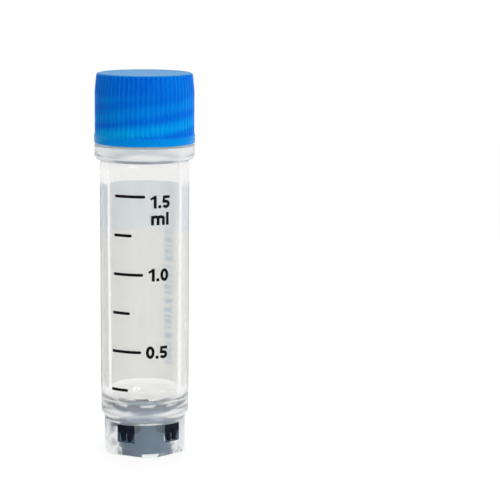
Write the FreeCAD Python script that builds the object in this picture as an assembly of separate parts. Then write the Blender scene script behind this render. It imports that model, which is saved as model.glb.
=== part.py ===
"""Self-standing 2 ml cryogenic storage vial: a clear tube with an externally
threaded neck and a star foot, a ribbed screw cap, a seal ring, and a black code
insert locked into the foot.

Millimetres, +Z up.  The foot stands on z = 0 and the vial's axis is the Z axis.
The cap is drawn closed; turning it about +Z unscrews it.
"""
import FreeCAD, Part
import math
import os

V = FreeCAD.Vector

# ---- overall --------------------------------------------------------------------
HEIGHT = 47.6            # foot to the top of the closed cap
BARREL_D = 11.08         # outside of the barrel, just under the collar
BARREL_DRAFT = 0.12      # how much narrower the barrel is at its lower end

# ---- tube: barrel and bore --------------------------------------------------------
WALL_TOP = 1.12          # barrel wall under the collar
WALL_FOOT = 1.28         # barrel wall where the bore starts to round in
BOWL_DEPTH = 2.85        # height of the rounded bottom of the bore
BOWL_KNUCKLE = 2.0       # radius from its side into its crown
FLOOR = 0.70             # plastic under the lowest point of the bore
SHOULDER_Z = 4.62        # where the barrel has stepped in to the foot skirt
SHOULDER_RISE = 0.93     # height of the rounding above that
UNDER_DROP = 0.57        # flat underside of the tube's bottom, below the shoulder
RIM_BREAK = 0.15         # broken edges of the neck rim

# ---- tube: collar and neck ----------------------------------------------------------
COLLAR_PROUD = 0.69      # collar beyond the barrel, rounded underneath
COLLAR_HEIGHT = 1.85
COLLAR_EDGE = 0.08       # broken upper edge of the collar
NECK_HEIGHT = 6.88       # collar top to neck rim
NECK_STEP = 0.59         # barrel to the thread's root, on the radius

# ---- screw thread: right-handed, several starts ---------------------------------------
STARTS = 2
LEAD = 4.6               # rise in one full turn
THREAD_DEPTH = 0.50
ROOT_W = 1.10            # ridge width where it leaves its wall, along the axis
CREST_W = 0.45
NECK_FIRST = 1.05        # ridge centre above the collar, where it begins
NECK_LAST = 0.95         # ridge centre under the neck rim, where it ends
CAP_FIRST = 1.10         # ridge centre above the cap's mouth, where it begins
CAP_LAST = 1.29          # ridge centre under the seal, where it ends
RUNOUT = 0.09            # turns over which a ridge rises from nothing at each end
SINK = 0.18              # how far a ridge is rooted in its wall
THREAD_STEPS = 40        # points on each ridge edge, per turn
RADIAL_CLEAR = 0.10      # crest to the opposite root
FLANK_CLEAR = 0.09       # between the loaded flanks, along the axis

# ---- cap ---------------------------------------------------------------------------------
CAP_WALL = 0.62          # thread root to rib crest
CAP_TOP = 1.15           # thickness of the top
CAP_EDGE = 0.33          # rounding of the top edge
CAP_DRAW_IN = 0.18       # how far the ribs lean in at the top, on the radius
CAP_LEAN = 2.3           # height over which they do
CAP_GAP = 0.26           # cap mouth above the collar
RIBS = 62
RIB_DEPTH = 0.10
RIB_CREST = 0.50         # part of the rib pitch that is flat crest
RIB_FLOOR = 0.22         # part that is groove floor
BAND_HEIGHT = 1.02       # plain band under the ribs
BAND_PROUD = 0.10
BAND_EDGE = 0.06
MOUTH_BREAK = 0.25       # chamfer inside the mouth
PLUG_DEPTH = 1.70        # centring plug below the ceiling
PLUG_WALL = 0.80
PLUG_NOSE = 0.25         # chamfer at the plug's end
PLUG_CLEAR = 0.45        # plug to bore, on the radius

# ---- seal ring ------------------------------------------------------------------------------
SEAL_THICK = 0.85
SEAL_CLEAR = 0.05        # round the plug
SEAL_OUT = 0.35          # ring beyond the neck's thread root, on the radius
SEAL_EDGE = 0.12

# ---- foot --------------------------------------------------------------------------------------
FOOT_STEP = 0.43         # barrel to foot skirt, on the radius
FOOT_WALL = 0.60
TOES = 5
TOE_TURN = 7.5           # where the front toe points, degrees about Z from straight ahead
BEVEL_HEIGHT = 1.35      # height of the sloping flats between the toes
BEVEL_LEFT = 0.04        # skirt left at the ground in the middle of a flat

# ---- code insert ----------------------------------------------------------------------------------
INSERT_D = 6.56
INSERT_RECESS = 0.04     # its face above the ground
INSERT_EDGE = 0.08
INSERT_WALL = 1.25
INSERT_FACE = 1.00       # thickness of the code face
CODE_FIELD = 4.0         # square field sunk in the code face
CODE_SUNK = 0.08
LIP_HEIGHT = 0.75        # shallow step round the top of the insert
LIP_STEP = 0.06
TAB_W = 2.30             # locking tabs, along the skirt
TAB_H = 1.05
TAB_BACK = 0.10          # tab face behind the outside of the skirt
LEG_W = 0.80             # each tapers from this width at the tab
LEG_TIP = 0.50           # to this one at its rounded end
LEG_SPLIT = 0.30         # between the two legs of a tab
LEG_LEAN = 0.03          # its inner side leans away from the other
LEG_H = 1.10             # legs below the tab
LEG_T = 0.42             # leg thickness, on the radius
WINDOW_CLEAR = 0.08      # round a tab, in its window

OVERLAP = 0.2            # hidden overlap between shapes that are fused or cut
TRIM_OUT = 0.4           # slope under the cap's rounded edge: outwards
TRIM_DOWN = 2.0          # and downwards

# ---- sizes that follow ---------------------------------------------------------------------------------
R_BARREL = BARREL_D / 2
R_BARREL_FOOT = R_BARREL - BARREL_DRAFT / 2
R_BORE = R_BARREL - WALL_TOP
R_BORE_FOOT = R_BARREL_FOOT - WALL_FOOT
R_COLLAR = R_BARREL + COLLAR_PROUD
R_NECK = R_BARREL - NECK_STEP
R_NECK_CREST = R_NECK + THREAD_DEPTH
R_CAP_ROOT = R_NECK_CREST + RADIAL_CLEAR
R_CAP_CREST = R_NECK + RADIAL_CLEAR
R_RIB = R_CAP_ROOT + CAP_WALL
R_BAND = R_RIB + BAND_PROUD
R_PLUG = R_BORE - PLUG_CLEAR
R_SEAL = R_NECK + SEAL_OUT
R_FOOT = R_BARREL_FOOT - FOOT_STEP
R_FOOT_IN = R_FOOT - FOOT_WALL
R_INSERT = INSERT_D / 2
R_TAB = R_FOOT - TAB_BACK

Z_CEILING = HEIGHT - CAP_TOP
Z_RIM = Z_CEILING - SEAL_THICK
Z_COLLAR = Z_RIM - NECK_HEIGHT
Z_COLLAR_UNDER = Z_COLLAR - COLLAR_HEIGHT
Z_MOUTH = Z_COLLAR + CAP_GAP
Z_BAND = Z_MOUTH + BAND_HEIGHT
Z_UNDER = SHOULDER_Z - UNDER_DROP
Z_FLOOR = Z_UNDER + FLOOR
Z_BOWL = Z_FLOOR + BOWL_DEPTH
Z_TAB = Z_UNDER - TAB_H


def at(r, z):
    """Point of a turned profile."""
    return V(r, 0, z)


def chain(*points):
    """Straight edges through profile points."""
    spots = [at(*p) for p in points]
    return [Part.makeLine(a, b) for a, b in zip(spots, spots[1:])]


def arc(start, centre, end):
    """Circular edge round a centre, from start to end, by the short way."""
    circle = Part.Circle(at(*centre), V(0, 1, 0), (at(*start) - at(*centre)).Length)
    first, last = (circle.parameter(at(*p)) for p in (start, end))
    if (last - first) % (2 * math.pi) > math.pi:
        first, last = last, first
    return Part.ArcOfCircle(circle, first, last).toShape()


def bowl_edges(radius, z_top, depth, knuckle):
    """Rounded bottom from (radius, z_top) down to the axis: a knuckle, then a crown."""
    reach = radius - knuckle
    crown = (reach ** 2 + depth ** 2 - knuckle ** 2) / (2 * (depth - knuckle))
    z_crown = z_top - depth + crown
    share = crown / (crown - knuckle)
    meet = (reach * share, z_crown + (z_top - z_crown) * share)
    return [arc((radius, z_top), (reach, z_top), meet),
            arc(meet, (0, z_crown), (0, z_top - depth))]


def turned(edges):
    """Solid of revolution about Z from the edges of a closed profile."""
    wire = Part.Wire(Part.__sortEdges__(edges))
    return Part.Face(wire).revolve(V(0, 0, 0), V(0, 0, 1), 360)


def ring(*corners):
    """Solid of revolution from a closed chain of corners."""
    return turned(chain(*corners, corners[0]))


def around(shape, degrees):
    """Copy turned about the vial's axis."""
    copy = shape.copy()
    copy.rotate(V(0, 0, 0), V(0, 0, 1), degrees)
    return copy


def rail(radii, heights, turns):
    """Smooth edge through points on a helix of changing radius."""
    curve = Part.BSplineCurve()
    curve.interpolate([polar(r, z, t) for r, z, t in zip(radii, heights, turns)])
    return curve.toShape()


def polar(r, z, turn):
    """Point at a radius, a height and a number of turns from +X."""
    a = 2 * math.pi * turn
    return V(r * math.cos(a), r * math.sin(a), z)


def ridge(r_wall, r_crest, z_start, length, first_turn):
    """One thread ridge, rooted in its wall and running out at both ends."""
    outward = 1 if r_crest > r_wall else -1
    depth = abs(r_crest - r_wall)
    steps = max(12, round(length * THREAD_STEPS))
    laps = [length * i / steps for i in range(steps + 1)]
    turns = [first_turn + t for t in laps]
    centre = [z_start + LEAD * t for t in laps]
    rise = [min(1.0, t / RUNOUT, (length - t) / RUNOUT) for t in laps]
    rise = [s * s * (3 - 2 * s) for s in rise]
    root = [r_wall - outward * SINK] * len(laps)
    # At its ends the crest dips just under the wall, so the ridge starts from nothing.
    crest = [r_wall + outward * (depth * s - SINK / 2 * (1 - s)) for s in rise]
    foot_w = ROOT_W + (ROOT_W - CREST_W) * SINK / depth
    rails = [(root, foot_w / 2), (root, -foot_w / 2), (crest, -CREST_W / 2), (crest, CREST_W / 2)]
    edges = [rail(r, [z + dz for z in centre], turns) for r, dz in rails]
    faces = [Part.makeRuledSurface(edges[i], edges[(i + 1) % 4]) for i in range(4)]
    for end in (0, -1):
        loop = [polar(r[end], centre[end] + dz, turns[end]) for r, dz in rails]
        faces.append(Part.Face(Part.makePolygon(loop + loop[:1])))
    shell = Part.Shell(faces)
    shell.sewShape()
    solid = Part.Solid(shell)
    if solid.Volume < 0:
        solid.reverse()
    return solid


def ridges(r_wall, r_crest, z_start, length, first_turn):
    """The same ridge once for each start of the thread."""
    one = ridge(r_wall, r_crest, z_start, length, first_turn)
    return [around(one, 360 * k / STARTS) for k in range(STARTS)]


def tube_body():
    """Foot skirt, barrel, collar, neck and bore in one turned moulding."""
    swell = (FOOT_STEP ** 2 + SHOULDER_RISE ** 2) / (2 * FOOT_STEP)
    z_swell = SHOULDER_Z + SHOULDER_RISE
    z_lip = Z_COLLAR_UNDER + COLLAR_PROUD
    edges = chain((R_FOOT_IN, Z_UNDER), (R_FOOT_IN, 0), (R_FOOT, 0), (R_FOOT, SHOULDER_Z))
    edges.append(arc((R_FOOT, SHOULDER_Z), (R_BARREL_FOOT - swell, z_swell), (R_BARREL_FOOT, z_swell)))
    edges += chain((R_BARREL_FOOT, z_swell), (R_BARREL, Z_COLLAR_UNDER))
    edges.append(arc((R_BARREL, Z_COLLAR_UNDER), (R_BARREL, z_lip), (R_COLLAR, z_lip)))
    edges += chain(
        (R_COLLAR, z_lip), (R_COLLAR, Z_COLLAR - COLLAR_EDGE), (R_COLLAR - COLLAR_EDGE, Z_COLLAR),
        (R_NECK, Z_COLLAR), (R_NECK, Z_RIM - RIM_BREAK), (R_NECK - RIM_BREAK, Z_RIM),
        (R_BORE + RIM_BREAK, Z_RIM), (R_BORE, Z_RIM - RIM_BREAK), (R_BORE_FOOT, Z_BOWL))
    edges += bowl_edges(R_BORE_FOOT, Z_BOWL, BOWL_DEPTH, BOWL_KNUCKLE)
    edges += chain((0, Z_FLOOR), (0, Z_UNDER), (R_FOOT_IN, Z_UNDER))
    return turned(edges)


def valley_angles():
    """Directions between the toes, degrees about Z from +X."""
    return [TOE_TURN - 90 + 360 * (k + 0.5) / TOES for k in range(TOES)]


def sloping_flat():
    """Wedge outside the foot that cuts the flat facing +X."""
    inner = R_FOOT_IN + BEVEL_LEFT
    slope = BEVEL_HEIGHT / (R_FOOT - inner)
    far = 2 * R_FOOT
    below = 1.0
    corners = [V(inner - below / slope, -far, -below), V(far, -far, -below),
               V(far, -far, (far - inner) * slope)]
    return Part.Face(Part.makePolygon(corners + corners[:1])).extrude(V(0, 2 * far, 0))


def window():
    """Opening through the skirt for the tab that points along +X."""
    half = TAB_W / 2 + WINDOW_CLEAR
    z_low = Z_TAB - LEG_H - WINDOW_CLEAR
    return Part.makeBox(R_FOOT + OVERLAP, 2 * half, Z_UNDER - z_low, V(0, -half, z_low))


def vial_tube():
    """The clear tube with its external thread, star foot and windows."""
    cuts = [around(cut, angle) for angle in valley_angles() for cut in (sloping_flat(), window())]
    turns = (NECK_HEIGHT - NECK_FIRST - NECK_LAST) / LEAD
    threads = ridges(R_NECK, R_NECK_CREST, Z_COLLAR + NECK_FIRST, turns, 0)
    return tube_body().cut(cuts).fuse(threads)


def ribbed_outline(r, z):
    """Corners of a level outline with evenly spaced ribs, scaled to put their crests at r."""
    half = 1 / RIBS / 2
    r_groove = r * (1 - RIB_DEPTH / R_RIB)
    points = []
    for k in range(RIBS):
        for side in (-RIB_CREST, 0, RIB_CREST):
            points.append(polar(r, z, (2 * k + side) * half))
        for side in (1 - RIB_FLOOR, 1 + RIB_FLOOR):
            points.append(polar(r_groove, z, (2 * k + side) * half))
    return points


def outline_face(corners):
    """Flat face inside a closed loop of corners."""
    return Part.Face(Part.makePolygon(corners + corners[:1]))


def ribbed_post(*levels):
    """Solid with ribs all round whose crests pass through the (r, z) levels, bottom first."""
    outlines = [ribbed_outline(r, z) for r, z in levels]
    faces = [outline_face(outlines[0]), outline_face(outlines[-1])]
    for low, high in zip(outlines, outlines[1:]):
        for i in range(len(low)):
            faces.append(outline_face([low[i - 1], low[i], high[i], high[i - 1]]))
    shell = Part.Shell(faces)
    shell.sewShape()
    solid = Part.Solid(shell)
    if solid.Volume < 0:
        solid.reverse()
    return solid


def cap_outside():
    """Outside of the cap as a solid: leaning ribs, rounded top edge and plain band."""
    z_edge = HEIGHT - CAP_EDGE
    r_top = R_RIB - CAP_DRAW_IN
    ribs = ribbed_post((R_RIB, Z_BAND - OVERLAP), (R_RIB, HEIGHT - CAP_LEAN), (r_top, HEIGHT))
    # Down from the rounded edge, the trim slopes out across the crests and clears them.
    edges = chain((r_top, z_edge), (r_top + TRIM_OUT, z_edge - TRIM_DOWN), (0, z_edge - TRIM_DOWN),
                  (0, HEIGHT), (r_top - CAP_EDGE, HEIGHT))
    edges.append(arc((r_top - CAP_EDGE, HEIGHT), (r_top - CAP_EDGE, z_edge), (r_top, z_edge)))
    trim = turned(edges).fuse(Part.makeCylinder(r_top + TRIM_OUT, z_edge - TRIM_DOWN))
    ribs = ribs.common(trim)
    # The band's upper edge slopes in to the bottom of the grooves and closes them.
    ramp = BAND_PROUD + RIB_DEPTH
    band = ring((0, Z_MOUTH), (R_BAND - BAND_EDGE, Z_MOUTH), (R_BAND, Z_MOUTH + BAND_EDGE),
                (R_BAND, Z_BAND - ramp / 2), (R_BAND - ramp, Z_BAND + ramp / 2),
                (0, Z_BAND + ramp / 2))
    return ribs.fuse(band)


def cap_hollow():
    """The space inside the cap."""
    r_mouth, z_out = R_CAP_ROOT + MOUTH_BREAK, Z_MOUTH - OVERLAP
    return ring((0, z_out), (r_mouth, z_out), (r_mouth, Z_MOUTH),
                (R_CAP_ROOT, Z_MOUTH + MOUTH_BREAK), (R_CAP_ROOT, Z_CEILING), (0, Z_CEILING))


def cap_threads():
    """Internal ridges, just under the neck's ridges, loaded flank to loaded flank."""
    flanks = (ROOT_W - CREST_W) * (1 + RADIAL_CLEAR / THREAD_DEPTH)
    drop = ROOT_W - flanks / 2 + FLANK_CLEAR
    z_start = Z_MOUTH + CAP_FIRST
    first_turn = (z_start - (Z_COLLAR + NECK_FIRST - drop)) / LEAD
    turns = (Z_RIM - CAP_LAST - z_start) / LEAD
    return ridges(R_CAP_ROOT, R_CAP_CREST, z_start, turns, first_turn)


def screw_cap():
    """The ribbed cap with its internal thread and centring plug."""
    r_in, z_low = R_PLUG - PLUG_WALL, Z_CEILING - PLUG_DEPTH
    plug = ring((r_in, z_low), (R_PLUG - PLUG_NOSE, z_low), (R_PLUG, z_low + PLUG_NOSE),
                (R_PLUG, Z_CEILING + OVERLAP), (r_in, Z_CEILING + OVERLAP))
    return cap_outside().cut(cap_hollow()).fuse([plug] + cap_threads())


def seal_ring():
    """Elastic ring between the neck rim and the cap's ceiling, round the plug."""
    r_in, b = R_PLUG + SEAL_CLEAR, SEAL_EDGE
    return ring((r_in, Z_RIM + b), (r_in + b, Z_RIM), (R_SEAL - b, Z_RIM), (R_SEAL, Z_RIM + b),
                (R_SEAL, Z_CEILING - b), (R_SEAL - b, Z_CEILING), (r_in + b, Z_CEILING),
                (r_in, Z_CEILING - b))


def tab_leg():
    """Tapering leg with a rounded end, under the tab and just beyond its middle in +Y."""
    x, tip = R_TAB - LEG_T, LEG_TIP / 2
    y_in, y_tip = LEG_SPLIT / 2, LEG_SPLIT / 2 + LEG_LEAN + tip
    z_top, z_low = Z_TAB + OVERLAP, Z_TAB - LEG_H
    a, b = V(x, y_in, z_top), V(x, y_in + LEG_W, z_top)
    c, d = V(x, y_tip + tip, z_low + tip), V(x, y_tip - tip, z_low + tip)
    end = Part.Arc(c, V(x, y_tip, z_low), d).toShape()
    wire = Part.Wire([Part.makeLine(a, b), Part.makeLine(b, c), end, Part.makeLine(d, a)])
    return Part.Face(wire).extrude(V(R_TAB, 0, 0))


def insert_tab():
    """Locking tab with two legs, reaching out along +X into its window."""
    arm = Part.makeBox(R_TAB, TAB_W, TAB_H, V(R_INSERT - INSERT_WALL / 2, -TAB_W / 2, Z_TAB))
    leg = tab_leg()
    legs = [leg, leg.mirror(V(0, 0, 0), V(0, 1, 0))]
    return arm.fuse(legs).common(Part.makeCylinder(R_TAB, Z_UNDER))


def code_insert():
    """Black cup in the foot: code face below, open against the tube's bottom."""
    r, r_lip, r_in = R_INSERT, R_INSERT - LIP_STEP, R_INSERT - INSERT_WALL
    z_low, z_in, z_lip = INSERT_RECESS, INSERT_RECESS + INSERT_FACE, Z_UNDER - LIP_HEIGHT
    cup = ring((0, z_low), (r - INSERT_EDGE, z_low), (r, z_low + INSERT_EDGE), (r, z_lip),
               (r_lip, z_lip), (r_lip, Z_UNDER), (r_in, Z_UNDER), (r_in, z_in), (0, z_in))
    field = Part.makeBox(CODE_FIELD, CODE_FIELD, CODE_SUNK,
                         V(-CODE_FIELD / 2, -CODE_FIELD / 2, z_low))
    tabs = [around(insert_tab(), angle) for angle in valley_angles()]
    return cup.fuse(tabs).cut(field)


def checked(shape, name):
    """One valid solid with its coplanar faces merged."""
    shape = shape.removeSplitter()
    if len(shape.Solids) != 1 or not shape.isValid():
        raise ValueError("%s: %d solids, valid %s" % (name, len(shape.Solids), shape.isValid()))
    return shape.Solids[0]


def main():
    os.makedirs("parts", exist_ok=True)
    for make in (vial_tube, screw_cap, seal_ring, code_insert):
        name = make.__name__
        solid = checked(make(), name)
        solid.exportStep("parts/%s.step" % name)
        print("%-12s %9.3f mm3" % (name, solid.Volume))


main()
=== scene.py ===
"""Looks of a self-standing cryogenic vial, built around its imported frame.

Sizes in the classes are millimetres and degrees.  A mesh becomes metres when it is made.
Angles round the vial are counted from straight ahead (-Y), positive towards +X.
"""
import logging
import math
from dataclasses import dataclass, field
from enum import Enum
from typing import Any, Sequence

import bpy
import numpy as np
from mathutils import Matrix, Vector


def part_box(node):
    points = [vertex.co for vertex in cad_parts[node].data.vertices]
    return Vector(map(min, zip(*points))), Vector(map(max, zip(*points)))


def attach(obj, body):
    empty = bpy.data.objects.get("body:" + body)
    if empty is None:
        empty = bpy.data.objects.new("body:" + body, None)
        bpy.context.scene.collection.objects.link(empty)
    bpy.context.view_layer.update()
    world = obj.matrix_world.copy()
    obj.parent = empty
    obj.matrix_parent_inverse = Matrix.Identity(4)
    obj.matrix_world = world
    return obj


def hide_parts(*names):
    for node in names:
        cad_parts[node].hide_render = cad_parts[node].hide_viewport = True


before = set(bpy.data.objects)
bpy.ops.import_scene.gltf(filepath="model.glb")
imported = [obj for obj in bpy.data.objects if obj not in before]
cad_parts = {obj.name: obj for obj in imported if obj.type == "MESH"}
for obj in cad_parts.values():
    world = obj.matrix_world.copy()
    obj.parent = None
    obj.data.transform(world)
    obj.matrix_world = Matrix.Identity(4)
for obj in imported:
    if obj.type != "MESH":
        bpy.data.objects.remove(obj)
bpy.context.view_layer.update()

MM = 0.001
AHEAD = -90.0  # straight ahead, degrees about +Z from +X
log = logging.getLogger("vial")


# ---- shader maths ----

class Value:
    """A shader socket that takes part in Python arithmetic."""

    def __init__(self, shader: "Shader", socket: Any) -> None:
        """Wraps one output socket of a shader's node."""
        self.shader, self.socket = shader, socket

    def math(self, operation: str, *others: "Value | float") -> "Value":
        """Math node on this value.

        Args:
            operation: the Math node's operation.
            others: its second and third inputs, if it has them.

        Returns:
            The node's output.
        """
        sockets = dict(enumerate((self,) + others))
        return self.shader.node("ShaderNodeMath", {"operation": operation}, sockets)

    def __add__(self, other: "Value | float") -> "Value":
        """Sum."""
        return self.math("ADD", other)

    __radd__ = __add__

    def __mul__(self, other: "Value | float") -> "Value":
        """Product."""
        return self.math("MULTIPLY", other)

    __rmul__ = __mul__

    def __sub__(self, other: "Value | float") -> "Value":
        """Difference."""
        return self.math("SUBTRACT", other)

    def __rsub__(self, other: float) -> "Value":
        """Difference from a number."""
        return (self * -1.0) + other

    def __abs__(self) -> "Value":
        """Size without its sign."""
        return self.math("ABSOLUTE")

    def smooth(self, low: float, high: float) -> "Value":
        """Smooth rise from 0 at low to 1 at high."""
        settings = {"interpolation_type": "SMOOTHSTEP"}
        sockets = {"Value": self, "From Min": low, "From Max": high}
        return self.shader.node("ShaderNodeMapRange", settings, sockets)

    def rise(self, level: float, fade: tuple[float, float]) -> "Value":
        """Smooth rise from 0 to 1 between two distances from a level."""
        return self.smooth(level + fade[0], level + fade[1])


class Shader:
    """Builder of the node tree of one material or world."""

    def __init__(self, name: str, world: Any = None) -> None:
        """Starts an empty material of that name, or empties a world."""
        self.owner = world or bpy.data.materials.new(name)
        self.owner.use_nodes = True
        self.tree = self.owner.node_tree
        self.tree.nodes.clear()

    def node(self, kind: str, settings: dict[str, Any] | None = None,
             sockets: dict[Any, Any] | None = None, output: int | str = 0) -> Value:
        """Adds a node.

        Args:
            kind: the node's type.
            settings: properties to set first.
            sockets: input name or number to a number, tuple or Value.
            output: name or number of the output that is returned.

        Returns:
            The chosen output.
        """
        made = self.tree.nodes.new(kind)
        for key, value in (settings or {}).items():
            setattr(made, key, value)
        for key, value in (sockets or {}).items():
            socket = made.inputs[key]
            if isinstance(value, Value):
                self.tree.links.new(value.socket, socket)
            elif socket.type == "RGBA" and len(value) == 3:
                socket.default_value = (*value, 1.0)
            else:
                socket.default_value = value
        return Value(self, made.outputs[output] if len(made.outputs) else None)

    def place(self) -> Value:
        """Object coordinates in millimetres."""
        raw = self.node("ShaderNodeTexCoord", output="Object")
        return self.node("ShaderNodeVectorMath", {"operation": "SCALE"}, {0: raw, "Scale": 1 / MM})

    def axes(self) -> tuple[Value, Value, Value]:
        """The x, y and z of the object coordinates, in millimetres."""
        split = self.node("ShaderNodeSeparateXYZ", sockets={0: self.place()})
        outputs = split.socket.node.outputs
        return Value(self, outputs[0]), Value(self, outputs[1]), Value(self, outputs[2])

    def reach(self) -> Value:
        """Distance from the axis, in millimetres."""
        x, y, _ = self.axes()
        return (x * x + y * y).math("SQRT")

    def turn(self) -> Value:
        """Turns round the axis from +X, from -0.5 to 0.5."""
        x, y, _ = self.axes()
        return y.math("ARCTAN2", x) * (0.5 / math.pi)

    def noise(self, per_mm: float, detail: float = 2.0, stretch: tuple | None = None) -> Value:
        """Noise on the object coordinates.

        Args:
            per_mm: lumps in a millimetre.
            detail: octaves of the noise.
            stretch: scale of each axis, where the pattern is drawn out.

        Returns:
            The noise, about 0.5 on average.
        """
        place = self.place()
        if stretch:
            scale = {"operation": "MULTIPLY"}
            place = self.node("ShaderNodeVectorMath", scale, {0: place, 1: stretch})
        sockets = {"Vector": place, "Scale": per_mm, "Detail": detail}
        return self.node("ShaderNodeTexNoise", sockets=sockets)

    def mix(self, share: "Value | float", first: Any, second: Any) -> Value:
        """Colour between first, at share 0, and second, at share 1."""
        # The node's inputs 6 and 7 and its output 2 are its colours.
        return self.node("ShaderNodeMix", {"data_type": "RGBA"}, {0: share, 6: first, 7: second}, 2)

    def blend(self, share: "Value | float", first: Value, second: Value) -> Value:
        """Surface between first, at share 0, and second, at share 1."""
        return self.node("ShaderNodeMixShader", sockets={0: share, 1: first, 2: second})

    def coloured(self, kind: str, colour: Any) -> Value:
        """Shader node that needs only a colour."""
        return self.node(kind, sockets={"Color": colour})

    def bump(self, height: Value, distance_mm: float) -> Value:
        """Normal of a surface raised by height times a distance."""
        sockets = {"Height": height, "Distance": distance_mm * MM, "Strength": 1.0}
        return self.node("ShaderNodeBump", sockets=sockets)

    def principled(self, **sockets: Any) -> Value:
        """Principled shader; socket names have _ for a space."""
        named = {k.replace("_", " "): v for k, v in sockets.items()}
        return self.node("ShaderNodeBsdfPrincipled", sockets=named)

    def finish(self, surface: Value) -> Any:
        """Joins a surface to the output and returns the material."""
        self.node("ShaderNodeOutputMaterial", sockets={"Surface": surface})
        return self.owner


# ---- finishes ----

IOR = 1.49  # of the plastics
CLOUD = (0.3, 0.8)  # range of a noise that becomes 0 to 1


@dataclass(frozen=True)
class ClearPlastic:
    """Clear natural polypropylene, with the soft bloom that its thick ends and its bowl show.

    Part of the bloom throws back the light that falls on it, a little blue, and part lets
    through the light that comes from inside, a little warm.  Over the insert the bloom is a
    darker blue-grey, painted shade for the black insert beneath, and on the face under the
    cap's mouth the light let through is painted blue, for the light from the cap.  Each fade
    gives two distances from a level or a radius, between which a zone begins or ends.
    """

    z_skirt: float  # top of the open foot, where the thick bottom begins
    z_bottom: float  # top of the thick bottom
    z_collar: float  # underside of the collar
    z_rest: float  # top of the collar
    r_inside: float  # radius of the bore
    r_insert: float  # radius of the insert that lies against the bottom
    tint: tuple = (0.955, 0.952, 0.942)
    blue: tuple = (0.74, 0.80, 0.86)
    blue_skirt: tuple = (0.52, 0.76, 0.95)
    blue_collar: tuple = (0.96, 0.98, 0.99)
    # painted shade: the bloom over the insert is darker and bluer, for the black insert beneath
    insert_shade: tuple = (0.25, 0.41, 0.60)
    warm: tuple = (0.97, 0.955, 0.93)
    # painted light: the blue that the cap's light gives the face under its mouth
    cap_blue_light: tuple = (0.88, 0.97, 1.0)
    let_through: float = 0.5
    haze: float = 0.03
    haze_skirt: float = 0.03
    haze_bottom: float = 0.30
    haze_bowl: float = 0.05
    haze_insert: float = 0.75  # on the underside, over the insert
    haze_collar: float = 0.28
    haze_rest: float = 0.92  # on the face under the cap's mouth
    haze_uneven: float = 0.2
    fade_outside: tuple = (0.05, 0.45)
    fade_foot: tuple = (-1.2, 0.8)
    fade_skirt: tuple = (-0.1, 0.3)
    fade_collar: tuple = (-0.5, 0.1)
    fade_ring: tuple = (-0.15, -0.02)
    fade_rest: tuple = (-0.12, -0.02)
    fade_neck: tuple = (0.05, 0.2)
    fade_flat: tuple = (0.03, 0.08)
    fade_insert: tuple = (-0.2, 0.0)
    roughness: float = 0.012
    satin: float = 0.07
    grain_rough: float = 0.02
    ripple_mm: float = 0.02
    ripple_grain: float = 0.05  # share of the fine grain in the ripple
    ripple_skirt: float = 0.2  # how much of the ripple is left on the skirt
    flow_per_mm: float = 0.35
    flow_drawn: tuple = (1.0, 1.0, 0.35)
    grain_per_mm: float = 7.0

    def material(self) -> Any:
        """Refracting shader mixed with the bloom."""
        s = Shader("clear_plastic")
        flow = s.noise(self.flow_per_mm, stretch=self.flow_drawn)
        grain = s.noise(self.grain_per_mm)
        z, reach = s.axes()[2], s.reach()
        outside = reach.rise(self.r_inside, self.fade_outside)
        foot = 1.0 - z.rise(self.z_bottom, self.fade_foot)
        skirt = 1.0 - z.rise(self.z_skirt, self.fade_skirt)
        collar = z.rise(self.z_collar, self.fade_collar)
        ring = collar - z.rise(self.z_rest, self.fade_ring)
        rest = z.rise(self.z_rest, self.fade_rest) * (1.0 - z.rise(self.z_rest, self.fade_neck))
        bowl = (foot - skirt) * (1.0 - outside)
        flat = 1.0 - abs(z - self.z_skirt).smooth(*self.fade_flat)
        # where the painted shade of the insert lies: the flat underside over it
        over = flat * (1.0 - reach.rise(self.r_insert, self.fade_insert))
        rough = self.roughness + (foot + skirt + ring) * self.satin + self.grain_rough * grain
        ripple = (flow + self.ripple_grain * grain) * (1.0 - skirt * (1.0 - self.ripple_skirt))
        clear = s.principled(Base_Color=self.tint, Roughness=rough, IOR=IOR,
                             Transmission_Weight=1.0, Normal=s.bump(ripple, self.ripple_mm))
        colour = s.mix(collar, s.mix(skirt, self.blue, self.blue_skirt), self.blue_collar)
        # painted shade: over the insert the thrown-back bloom takes the darker insert colour
        back = s.coloured("ShaderNodeBsdfDiffuse", s.mix(over, colour, self.insert_shade))
        # painted light: the face under the cap's mouth lets through blue, for the light from the
        # cap
        through = s.coloured("ShaderNodeBsdfTranslucent", s.mix(rest, self.warm, self.cap_blue_light))
        part = (1.0 - skirt) * self.let_through + (bowl + rest) * (1.0 - self.let_through)
        bloom = s.blend(part * (1.0 - over), back, through)
        thick = ((foot - skirt) * self.haze_bottom + skirt * self.haze_skirt
                 + ring * self.haze_collar)
        share = (thick * outside + bowl * self.haze_bowl + rest * outside * self.haze_rest
                 + self.haze + over * self.haze_insert)
        uneven = (1.0 - self.haze_uneven / 2) + self.haze_uneven * flow
        return s.finish(s.blend(share * uneven, clear, bloom))


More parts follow.
